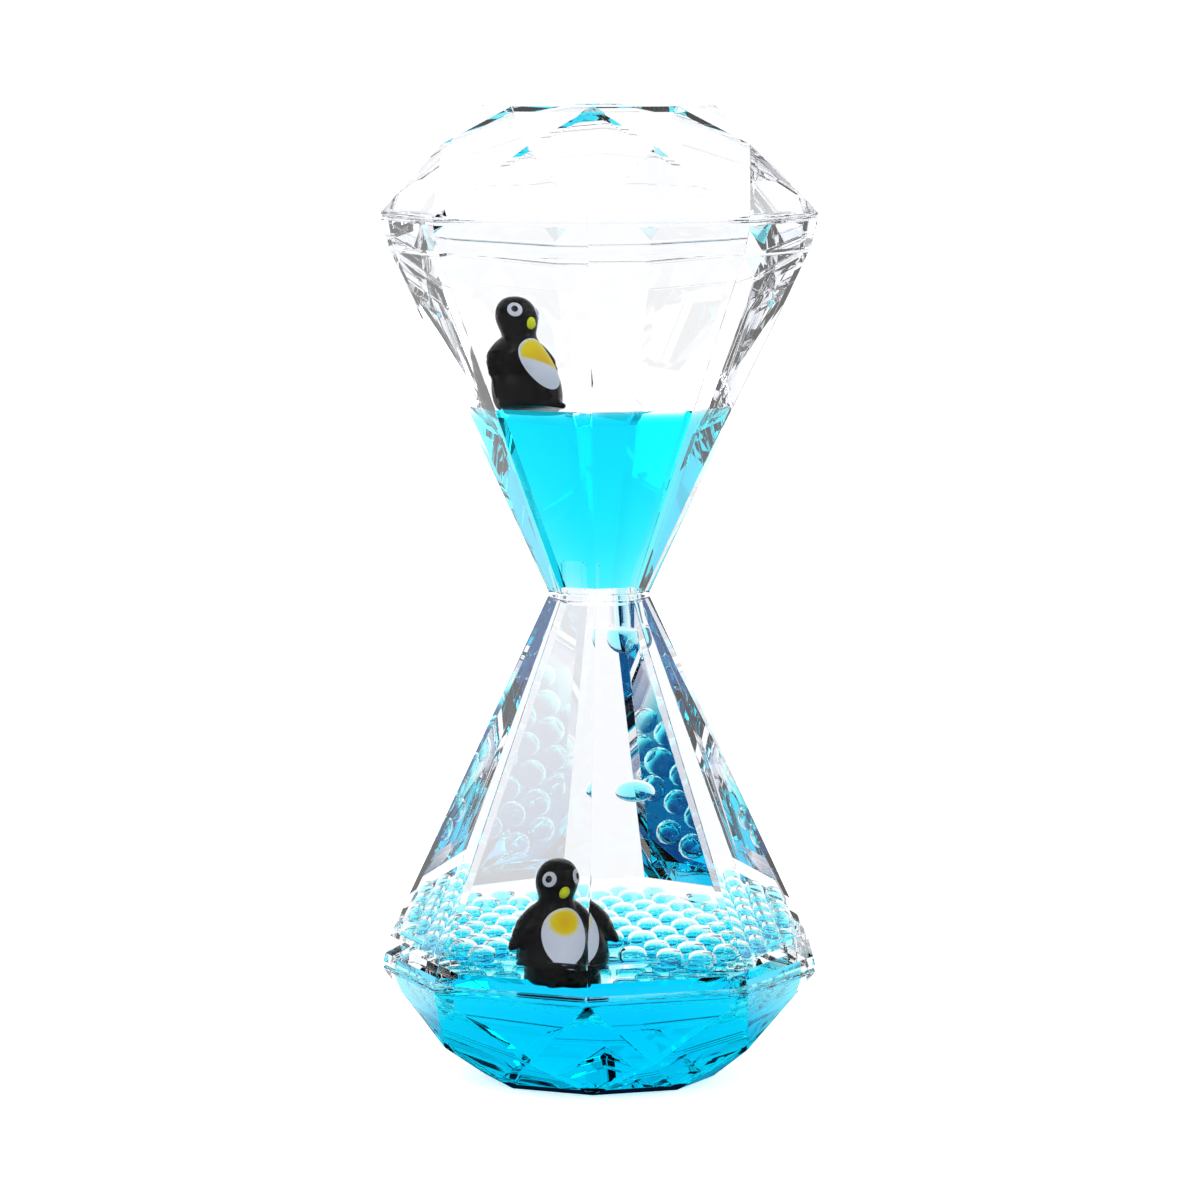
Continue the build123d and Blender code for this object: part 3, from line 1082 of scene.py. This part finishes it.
@dataclass
class DropBed:
    """The layer of drops that lie on the lower water before they join it."""

    shape: CaseShape
    clear_of: tuple[float, float]             # mm, where the float stands
    clear_radius: float = 8.9
    pitch: float = 5.4
    radius: float = 2.6
    height: float = 3.3
    jitter: float = 0.24
    seed: int = 7
    segments: int = 12

    def build(self) -> None:
        """Model one flattened drop and lay copies of it in rows over the water."""
        s = self.shape
        rng = random.Random(self.seed)
        drops = []
        reach = (s.skirt_bore * FLAT - self.radius - 0.15)
        rows = int(2 * reach / (self.pitch * 0.866)) + 2
        level = s.lower_level + 0.05
        first = self.one_drop()
        for row in range(-rows, rows + 1):
            for column in range(-rows, rows + 1):
                x = (column + (row % 2) / 2) * self.pitch + rng.uniform(-self.jitter, self.jitter)
                y = row * self.pitch * 0.866 + rng.uniform(-self.jitter, self.jitter)
                size = rng.uniform(0.86, 1.0)
                lift = rng.uniform(0.0, 0.6)
                lean = rng.uniform(-0.09, 0.09)
                if not self.fits(x, y, reach):
                    continue
                drop = twin(first, "drop")
                put(drop, Matrix.Translation((x * MM, y * MM, (level + self.height / 2 + lift) * MM))
                    @ Matrix.Rotation(lean, 4, "X") @ Matrix.Diagonal((size, size, size * 0.98, 1)))
                drops.append(drop)
        bpy.data.objects.remove(first, do_unlink=True)
        bed = join(drops, "foam_of_drops")
        smooth_sides(bed, 180)
        dress(bed, [WaterDrop("drop_foam", oil_index=0.88).material()])
        LOG.info("%d drops in the bed", len(drops))
        settle(bed, "case", "drop_foam", "drop_bed")

    def fits(self, x: float, y: float, reach: float) -> bool:
        """Say whether a drop at a place keeps clear of the wall and the float."""
        inside = all(
            x * math.cos((k + 0.5) * math.tau / SIDES) + y * math.sin((k + 0.5) * math.tau / SIDES) < reach
            for k in range(SIDES)
        )
        return inside and math.hypot(x - self.clear_of[0], y - self.clear_of[1]) > self.clear_radius

    def one_drop(self) -> bpy.types.Object:
        """Model one drop, flat underneath where it lies on the water and gently domed on top."""
        r, h = self.radius, self.height / 2
        return turned("first_drop", [
            (0.62 * r, -0.9 * h), (0.88 * r, -0.7 * h), (r, -0.2 * h), (0.96 * r, 0.28 * h),
            (0.82 * r, 0.64 * h), (0.6 * r, 0.86 * h), (0.32 * r, 0.97 * h), (0.06 * r, h)], self.segments)


@dataclass
class LooseDrops:
    """The drop that hangs from the drip tube and the one on its way down."""

    shape: CaseShape
    fittings: NeckFittings
    hanging_radius: float = 2.75
    hanging_length: float = 4.0
    falling_radius: float = 3.2
    falling_height: float = 3.6
    falling_z: float = 42.7
    falling_x: float = 3.7
    segments: int = 40

    def build(self) -> None:
        """Model both drops."""
        t = self.fittings
        tip = self.shape.height - t.tip
        lip = t.radius - t.taper
        profile: Profile = [(lip * 0.96, tip - CLEAR)]
        middle = tip - self.hanging_length + self.hanging_radius
        steps = 16
        for k in range(1, steps):
            angle = math.radians(30 - 120 * k / steps)
            profile.append((self.hanging_radius * math.cos(angle),
                            middle + self.hanging_radius * math.sin(angle)))
        hanging = turned("hanging_bead", profile, self.segments)
        self.finish(hanging, Matrix.Translation((t.offset * MM, 0, 0)))
        settle(hanging, "case", "water_drop", "hanging_drop")
        clear_selection()
        bpy.ops.mesh.primitive_uv_sphere_add(
            segments=self.segments, ring_count=24, radius=self.falling_radius * MM)
        falling = named(bpy.context.object, "falling_bead")
        with editing(falling):
            bpy.ops.transform.resize(value=(1, 1, self.falling_height / 2 / self.falling_radius))
            pick_faces(falling, lambda c, n: c.z < -0.1 * MM)
            bpy.ops.transform.resize(value=(1, 1, 0.86), center_override=(0, 0, 0))
        self.finish(falling, Matrix.Translation((self.falling_x * MM, 0, self.falling_z * MM)))
        settle(falling, "falling_drop", "water_drop", "falling_drop")

    def finish(self, drop: bpy.types.Object, placing: Matrix) -> None:
        """Place, smooth and dress a drop."""
        put(drop, placing)
        smooth_sides(drop, 180)
        dress(drop, [WaterDrop("water_drop").material()])


# ---------------------------------------------------------------- the floats


@dataclass
class PenguinFloat:
    """A glossy moulded penguin that floats upright, weighted by a steel slug."""

    half: Half
    foot: tuple[float, float, float]
    turn: float
    lean: float
    patch_centre: tuple[float, float]
    patch_half_size: tuple[float, float]
    patch_floor: float
    softness: float
    patch_tilt: float
    height: float = 18.6
    head: float = 3.45
    eye: float = 1.22
    eye_turn: float = 47
    eye_lift: float = 16
    pupil: float = 0.55
    panel: tuple[float, float] = (3.75, 4.3)
    panel_height: float = 7.2
    panel_depth: float = 1.9
    wing_taper: tuple[tuple[float, tuple[float, float]], ...] = (
        (1.2, (0.86, 0.84)), (3.0, (0.82, 0.8)))   # mm below its middle, and how much narrower
    corners: int = 64

    @property
    def placing(self) -> Matrix:
        """Where the figure stands, which way it faces and how far it leans back."""
        return (Matrix.Translation(Vector(self.foot) * MM)
                @ Matrix.Rotation(math.radians(self.turn), 4, "Z")
                @ Matrix.Rotation(math.radians(-self.lean), 4, "X"))

    @property
    def prefix(self) -> str:
        """Start of every name of this float."""
        return f"{self.half.value}_penguin_"

    @property
    def head_centre(self) -> Vector:
        """Centre of the round head, mm."""
        return Vector((0, 0, self.height - self.head))

    def build(self) -> None:
        """Model the figure, inlay its belly, eyes and beak, and weight it."""
        body = self.model_figure()
        self.inlay_belly(body)
        self.finish(body, "body", [MouldedPaint(
            "gloss_black", (0.0012, 0.0012, 0.0015), (0.0024, 0.0023, 0.0028), 0.2, index=1.2).material()],
            "penguin_black")
        self.model_eyes()
        self.model_beak()
        self.model_ballast()

    def finish(
        self, piece: bpy.types.Object, part: str, materials: list[bpy.types.Material], slot: str,
        extra: tuple[str, ...] = (),
    ) -> None:
        """Place a part of the figure, dress it and let it ride.

        Args:
            piece: the part, modelled upright at the origin.
            part: the end of its name.
            materials: its material slots.
            slot: the record's slot.
            extra: further CAD nodes that it stands for.
        """
        put(piece, self.placing)
        named(piece, f"{self.half.value}_bird_{part}")
        smooth_sides(piece, 40)
        dress(piece, materials)
        body = f"{self.half.value}_ballast" if part == "ballast" else f"{self.half.value}_penguin"
        settle(piece, body, slot, self.prefix + part, *extra)

    def ball(self, centre: Vector, sizes: tuple[float, float, float], turn: Matrix) -> bpy.types.Object:
        """Model a stretched ball for a wing, foot or tail.

        Args:
            centre: its centre, mm.
            sizes: half sizes along its own axes, mm.
            turn: its rotation.

        Returns:
            The ball.
        """
        clear_selection()
        bpy.ops.mesh.primitive_uv_sphere_add(segments=32, ring_count=20, radius=MM)
        piece = bpy.context.object
        put(piece, Matrix.Translation(centre * MM) @ turn @ Matrix.Diagonal((*sizes, 1)))
        return piece

    def model_figure(self) -> bpy.types.Object:
        """Model the smooth black figure with its wings, feet and tail.

        Returns:
            The closed figure.
        """
        profile: Profile = [
            (4.9, 0.0), (5.4, 0.45), (5.72, 1.4), (5.88, 2.7), (5.88, 3.9), (5.72, 5.2), (5.4, 6.6),
            (4.95, 7.9), (4.4, 9.1), (3.8, 10.2), (3.2, 11.2), (2.8, 12.0), (2.84, 12.75), (3.1, 13.5),
            (3.35, 14.35), (3.45, 15.15), (3.38, 15.95), (3.14, 16.75), (2.7, 17.5), (2.05, 18.12),
            (1.2, 18.48), (0.4, 18.58)]
        figure = turned("figure", profile, self.corners)
        parts = [figure]
        for side in (1, -1):
            wing = self.ball(Vector((0, 0, 0)), (1.9, 2.7, 4.9), Matrix.Identity(4))
            with editing(wing):
                for below, narrower in self.wing_taper:
                    pick_faces(wing, lambda c, n: c.z < -below * MM)
                    bpy.ops.transform.resize(value=(*narrower, 1), center_override=(0, 0, 0))
            put(wing, Matrix.Translation(Vector((side * 4.3, 0.2, 8.5)) * MM)
                @ Matrix.Rotation(math.radians(-side * 42), 4, "Y"))
            parts.append(wing)
            toe = Matrix.Rotation(math.radians(side * 22), 4, "Z")
            parts.append(self.ball(toe @ Vector((0, -4.7, 0.5)), (1.35, 2.0, 0.75), toe))
        parts.append(self.ball(Vector((0, 4.9, 2.2)), (1.3, 0.9, 2.7),
                               Matrix.Rotation(math.radians(-58), 4, "X")))
        figure = join(parts, "figure")
        take(figure)
        remesh = figure.modifiers.new("fuse", "REMESH")
        remesh.mode = "VOXEL"
        remesh.voxel_size = 0.24 * MM
        bpy.ops.object.modifier_apply(modifier=remesh.name)
        relax = figure.modifiers.new("relax", "SMOOTH")
        relax.factor = 0.5
        relax.iterations = 7
        bpy.ops.object.modifier_apply(modifier=relax.name)
        cut_through(figure, Vector((0, 0, 0)), Vector((0, 0, -1)), discard=True)
        return figure

    def inlay_belly(self, body: bpy.types.Object) -> None:
        """Part the belly panel and its golden spot from the figure's front.

        Args:
            body: the figure, which keeps the rest.
        """
        paint = [BellyPaint(f"{self.prefix}belly_paint", self.placing, self.patch_centre,
                            self.patch_half_size, self.patch_floor, self.softness,
                            self.patch_tilt).material()]
        block = self.panel_block("panel_block", (0, self.panel_height), self.panel, self.panel_depth)
        belly = twin(body, "belly")
        combine(belly, twin(block, "panel_tool"), "INTERSECT")
        combine(body, block, "DIFFERENCE")
        spot_block = self.panel_block("spot_block", (0, 9.3), (2.4, 1.85), 2.7)
        spot = twin(belly, "spot")
        combine(spot, twin(spot_block, "spot_tool"), "INTERSECT")
        combine(belly, spot_block, "DIFFERENCE")
        self.finish(belly, "belly", paint, "penguin_white")
        self.finish(spot, "spot", paint, "penguin_yellow")

    def panel_block(
        self, name: str, centre: tuple[float, float], half_size: tuple[float, float], depth: float
    ) -> bpy.types.Object:
        """Model the oval block that marks out a panel of the front.

        Args:
            name: the block's name.
            centre: across and up, mm.
            half_size: across and up, mm.
            depth: how near the axis it reaches, mm.

        Returns:
            The block.
        """
        block = turned(name, [(1, 0), (1, 6)], self.corners)
        put(block, Matrix.Translation(Vector((centre[0], -depth, centre[1])) * MM)
            @ Matrix.Rotation(math.radians(90), 4, "X")
            @ Matrix.Diagonal((*half_size, 1, 1)))
        recalculate(block)
        return block

    def on_head(self, turn: float, lift: float, out: float) -> Matrix:
        """Return the place on the head at a turn and lift, its own Z pointing outwards."""
        aim = (Matrix.Rotation(math.radians(turn), 4, "Z")
               @ Matrix.Rotation(math.radians(90 - lift), 4, "X"))
        direction = aim @ Vector((0, 0, 1))
        return Matrix.Translation((self.head_centre + direction * out) * MM) @ aim

    def model_eyes(self) -> None:
        """Model both domed eye discs with a raised ring, and their pupils."""
        eyes, pupils = [], []
        sag = self.head - math.sqrt(self.head**2 - self.eye**2)
        for side in (1, -1):
            place = self.on_head(side * self.eye_turn, self.eye_lift, self.head)
            eye = turned("eye", [
                (self.eye, -sag - 0.4), (self.eye, -sag + 0.02), (self.eye * 0.96, -sag + 0.12),
                (self.eye * 0.88, -sag + 0.17), (self.eye * 0.78, -sag + 0.17),
                (self.eye * 0.5, 0.08), (self.eye * 0.2, 0.12)], 36)
            put(eye, place)
            eyes.append(eye)
            pupil = turned("pupil", [
                (self.pupil, 0.0), (self.pupil, 0.1), (self.pupil * 0.85, 0.17),
                (self.pupil * 0.45, 0.22), (self.pupil * 0.15, 0.23)], 28)
            put(pupil, place)
            pupils.append(pupil)
        white = MouldedPaint("eye_enamel", (0.50, 0.53, 0.62), (0.60, 0.64, 0.72), 0.3, index=1.3)
        black = MouldedPaint("pupil_enamel", (0.004, 0.004, 0.004), (0.008, 0.008, 0.009), 0.12, index=1.3)
        self.finish(join(eyes, "eyes"), "eyes", [white.material()], "eye_white")
        self.finish(join(pupils, "pupils"), "pupils", [black.material()], "pupil_black")

    def model_beak(self) -> None:
        """Model the short rounded beak."""
        beak = self.ball(Vector((0, 0, 0)), (0.88, 1.08, 0.8), Matrix.Identity(4))
        with editing(beak):
            pick_faces(beak, lambda c, n: c.z > 0.3 * MM)
            bpy.ops.transform.resize(value=(0.82, 0.86, 1), center_override=(0, 0, 0))
        put(beak, self.on_head(0, -22, self.head - 0.15))
        green = MouldedPaint("beak_enamel", (0.50, 0.62, 0.01), (0.66, 0.74, 0.03), 0.3, index=1.25)
        self.finish(beak, "beak", [green.material()], "beak_green")

    def model_ballast(self) -> None:
        """Model the steel slug inside the foot of the float."""
        slug = turned("ballast", [(1.2, 1.4), (1.5, 1.7), (1.5, 3.7), (1.2, 4.0)], 32)
        steel = MouldedPaint("plain_steel", (0.42, 0.42, 0.44), (0.5, 0.5, 0.52), 0.35, metal=1.0)
        self.finish(slug, "ballast", [steel.material()], "ballast_steel")


# ---------------------------------------------------------------- the studio


@dataclass
class Studio:
    """Pale floor with a painted blue shade under the timer, even white light and the camera."""

    azimuth: float = 2.96
    distance: float = 0.9228
    camera_height: float = 0.1661
    pitch: float = 5.70
    lens: float = 180.9
    white: float = 1.1
    ceiling: float = 1.0
    glare: float = 0.12
    card_turn: float = 0.25                   # where the card is fully dark, as a direction
    card_reach: float = 0.03                  # and on the floor, metres
    # painted shade: the blue glow that rays other than camera rays see on the floor under the timer, and the
    # radii in metres where it fades to white
    painted_shade_colour: tuple[float, float, float] = (0.012, 0.07, 0.24)
    painted_shade_edge: tuple[float, float] = (0.030, 0.052)

    def build(self) -> None:
        """Set up the floor, the lights, the world and the camera."""
        self.place_camera()
        self.light_world()
        self.lay_floor()
        self.hang_light("key_light", (-0.7, -0.7, 1.1), 0.6, 6.0)
        self.hang_light("fill_light", (0.9, -0.2, 0.8), 0.5, 3.0)

    def place_camera(self) -> None:
        """Place the camera."""
        clear_selection()
        turn = math.radians(self.azimuth)
        bpy.ops.object.camera_add(
            location=(self.distance * math.sin(turn), -self.distance * math.cos(turn), self.camera_height),
            rotation=(math.radians(90 - self.pitch), 0, turn))
        camera = bpy.context.object
        camera.data.sensor_width = 36
        camera.data.lens = self.lens
        camera.data.clip_end = 20
        camera.data.shift_x = 0.0008
        bpy.context.scene.camera = camera

    def light_world(self) -> None:
        """Light the room evenly, a little darker overhead."""
        world = bpy.data.worlds.new("studio")
        world.use_nodes = True
        bpy.context.scene.world = world
        tree = world.node_tree
        place = node(tree, "TexCoord", {})
        split = node(tree, "SeparateXYZ", {0: place.outputs["Generated"]})
        fade = node(tree, "MapRange", {
            "Value": split.outputs["Z"], "From Min": 0.45, "From Max": 0.85,
            "To Min": self.white, "To Max": self.ceiling}, interpolation_type="SMOOTHSTEP")
        keep = self.keep_out_glare(tree, split.outputs["Y"], self.card_turn)
        dim = node(tree, "Math", {0: fade.outputs["Result"], 1: keep}, operation="MULTIPLY")
        back = tree.nodes["Background"]
        tree.links.new(dim.outputs[0], back.inputs["Strength"])
        back.inputs["Color"].default_value = (1, 1, 1, 1)

    def keep_out_glare(
        self, tree: bpy.types.NodeTree, forward: bpy.types.NodeSocket, reach: float
    ) -> bpy.types.NodeSocket:
        """Darken the front of the studio where a face mirrors it, as a black card would.

        Args:
            tree: the node tree to add to.
            forward: how far back a point of the studio lies.
            reach: how far in front the card is fully dark.

        Returns:
            A factor that is low only for mirror reflections of the front.
        """
        path = node(tree, "LightPath", {})
        mirror = node(tree, "Math", {
            0: path.outputs["Is Reflection Ray"], 1: path.outputs["Is Diffuse Ray"]},
            operation="SUBTRACT", use_clamp=True)
        card = node(tree, "MapRange", {"Value": forward, "From Min": 0.0, "From Max": -reach},
                    interpolation_type="SMOOTHSTEP")
        both = node(tree, "Math", {0: mirror.outputs[0], 1: card.outputs["Result"]},
                    operation="MULTIPLY")
        keep = node(tree, "MapRange", {"Value": both.outputs[0], "To Min": 1.0, "To Max": self.glare})
        return keep.outputs["Result"]

    def lay_floor(self) -> None:
        """Lay the pale floor; rays other than camera rays see it glow, with a painted blue shade under the
        timer in place of the shade it casts.
        """
        clear_selection()
        bpy.ops.mesh.primitive_circle_add(vertices=96, radius=6, fill_type="NGON", location=(0, 0, -0.0001))
        floor = named(bpy.context.object, "floor")
        bpy.ops.object.transform_apply(location=True)
        material, tree, output = new_material("pale_floor")
        paper = node(tree, "BsdfPrincipled", {
            "Base Color": (0.9, 0.9, 0.9, 1), "Roughness": 0.8, "Specular IOR Level": 0,
            "Emission Color": (1, 1, 1, 1), "Emission Strength": 0.55})
        noise_bump(tree, paper, 40, 0.05, 0.0002)
        place = node(tree, "TexCoord", {})
        reach = node(tree, "VectorMath", {0: place.outputs["Object"]}, operation="LENGTH")
        shade_inside, shade_outside = self.painted_shade_edge
        edge = node(tree, "MapRange", {
            "Value": reach.outputs["Value"], "From Min": shade_inside, "From Max": shade_outside},
            interpolation_type="SMOOTHSTEP")
        # painted shade: the floor's glow turns from the painted blue under the timer to white further out
        tint = node(tree, "Mix", {
            "A": (*self.painted_shade_colour, 1), "B": (self.white, self.white, self.white, 1),
            "Factor": edge.outputs["Result"]}, data_type="RGBA")
        split = node(tree, "SeparateXYZ", {0: place.outputs["Object"]})
        keep = self.keep_out_glare(tree, split.outputs["Y"], self.card_reach)
        # rays other than camera rays see only this glowing sheet with its painted shade, dimmed where the
        # front of the floor is mirrored; camera rays see the lit paper
        shade = node(tree, "Emission", {"Color": tint.outputs["Result"], "Strength": keep})
        path = node(tree, "LightPath", {})
        seen = node(tree, "MixShader", {
            "Fac": path.outputs["Is Camera Ray"], 1: shade.outputs[0], 2: paper.outputs[0]})
        tree.links.new(seen.outputs[0], output.inputs["Surface"])
        dress(floor, [material])

    def hang_light(self, name: str, place: tuple[float, float, float], size: float, power: float) -> None:
        """Hang a soft square light aimed at the timer, kept out of its mirror reflections.

        Args:
            name: the light's name.
            place: where it hangs, metres.
            size: its side, metres.
            power: its power, watts.
        """
        clear_selection()
        aim = (Vector((0, 0, 0.08)) - Vector(place)).to_track_quat("-Z", "Y").to_euler()
        bpy.ops.object.light_add(type="AREA", location=place, rotation=aim)
        light = bpy.context.object
        light.name = name
        light.data.size = size
        light.data.energy = power
        light.visible_glossy = False


def main() -> None:
    """Build the studio, the case, the liquids and the floats."""
    logging.basicConfig(level=logging.INFO, format="%(message)s")
    scene = bpy.context.scene
    scene.view_settings.view_transform = "Standard"
    scene.cycles.max_bounces = 40
    scene.cycles.transmission_bounces = 40
    shape = CaseShape()
    clear = ClearPlastic()
    rubber = MouldedPaint("pale_rubber", (0.55, 0.56, 0.58), (0.62, 0.63, 0.66), 0.5)
    Studio().build()
    plug = FillPlug(shape, ClearPlastic("clear_plug"), rubber)
    for half in Half:
        FunnelChamber(shape, half, clear).build()
        CrownCap(shape, half, clear, plug).build()
        GlueLine(shape, half, ClearPlastic("glue", tint=(0.93, 0.95, 0.98))).build()
    plug.build()
    fittings = NeckFittings(shape, ClearPlastic("clear_tube"))
    fittings.build()
    UpperWater(shape, fittings).build()
    LowerWater(shape).build()
    LooseDrops(shape, fittings).build()
    PenguinFloat(Half.UPPER, (-9.0, -7.0, shape.upper_level + 0.65), 40, 5,
                 (0, 7.2), (3.5, 4.05), 7.0, 0.05, 14).build()
    lower_foot = (-4.6, -18.6, shape.lower_level - 1.5)
    PenguinFloat(Half.LOWER, lower_foot, 20, 0, (0, 9.4), (2.5, 1.85), 0.0, 0.2, 0).build()
    DropBed(shape, lower_foot[:2]).build()


if __name__ == "__main__":
    main()
